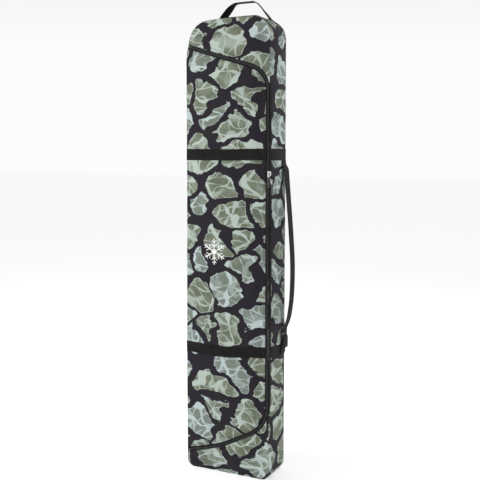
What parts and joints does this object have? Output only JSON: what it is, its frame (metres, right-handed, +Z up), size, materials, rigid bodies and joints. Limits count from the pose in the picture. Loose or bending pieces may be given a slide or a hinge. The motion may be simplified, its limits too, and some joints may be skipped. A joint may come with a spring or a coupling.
{
  "type": "snowboard bag",
  "caption": "Tall padded snowboard bag that stands on its end, with a side-hinged zip flap, two sliders, webbing bands, a haul handle and a bowed carrying strap.",
  "frame": {"origin": "middle of the flat base that the bag stands on", "axes": "+Z up along the bag, front with the flap faces -Y, +X to the right seen from the front"},
  "size_m": [0.3678, 0.146, 1.682],
  "materials": {
    "camo_fabric": "matte",
    "lining_fabric": "matte",
    "foam": "matte",
    "webbing": "matte",
    "zip_tape": "matte",
    "zip_coil": "satin",
    "slider_metal": "satin",
    "pull_rubber": "matte",
    "buckle_plastic": "satin",
    "white_print": "matte"
  },
  "bodies": {
    "bag": {"back_panel": "camo_fabric", "back_foam": "foam", "back_lining": "lining_fabric", "base_panel": "camo_fabric", "base_foam": "foam", "base_lining": "lining_fabric", "left_gusset": "camo_fabric", "right_gusset": "camo_fabric", "top_gusset": "camo_fabric", "left_foam": "foam", "right_foam": "foam", "top_foam": "foam", "left_lining": "lining_fabric", "right_lining": "lining_fabric", "top_lining": "lining_fabric", "front_top_panel": "camo_fabric", "front_top_foam": "foam", "front_top_lining": "lining_fabric", "front_bottom_panel": "camo_fabric", "front_bottom_foam": "foam", "front_bottom_lining": "lining_fabric", "frame_zip_tape": "zip_tape", "frame_zip_coil": "zip_coil", "zip_stops": "slider_metal", "upper_band": "webbing", "lower_band": "webbing", "handle_left_end": "webbing", "handle_right_end": "webbing", "strap_top_end": "webbing", "strap_lower_end": "webbing", "strap_tab": "webbing", "ladder_buckle": "buckle_plastic"},
    "flap": {"flap_panel": "camo_fabric", "flap_foam": "foam", "flap_lining": "lining_fabric", "flap_zip_tape": "zip_tape", "flap_zip_coil": "zip_coil", "flap_upper_band": "webbing", "flap_lower_band": "webbing", "flap_emblem": "white_print"},
    "upper_zip_slider": {"upper_slider": "slider_metal"},
    "upper_pull": {"upper_pull_tab": "slider_metal", "upper_pull_grip": "pull_rubber"},
    "lower_zip_slider": {"lower_slider": "slider_metal"},
    "lower_pull": {"lower_pull_tab": "slider_metal", "lower_pull_grip": "pull_rubber"},
    "handle": {"haul_handle": "webbing"},
    "carry_strap": {"shoulder_strap": "webbing"}
  },
  "joints": [
    {"name": "flap_hinge", "type": "hinge", "parent": "bag", "child": "flap", "pos_m": [-0.1625, -0.068, 0.794], "axis": [0, 0, -1], "range_deg": [0, 170]},
    {"name": "upper_slider_slide", "type": "slide", "parent": "bag", "child": "upper_zip_slider", "axis": [0, 0, 1], "range_m": [0, 0.27]},
    {"name": "lower_slider_slide", "type": "slide", "parent": "bag", "child": "lower_zip_slider", "axis": [0, 0, -1], "range_m": [0, 0.75]},
    {"name": "upper_pull_swing", "type": "hinge", "parent": "upper_zip_slider", "child": "upper_pull", "pos_m": [0.16132, -0.0744, 1.086], "axis": [-1, 0, 0], "range_deg": [0, 165]},
    {"name": "lower_pull_swing", "type": "hinge", "parent": "lower_zip_slider", "child": "lower_pull", "pos_m": [0.1704, -0.0674, 1.062], "axis": [0, -1, 0], "range_deg": [0, 165]},
    {"name": "handle_swing", "type": "hinge", "parent": "bag", "child": "handle", "pos_m": [0.016, 0.04, 1.631], "axis": [1, 0, 0], "range_deg": [-80, 80], "stiffness_Nm_per_rad": 0.02},
    {"name": "strap_swing", "type": "hinge", "parent": "bag", "child": "carry_strap", "pos_m": [0.1785, 0.043, 0.816], "axis": [0, 0, 1], "range_deg": [-35, 35], "stiffness_Nm_per_rad": 0.03}
  ]
}
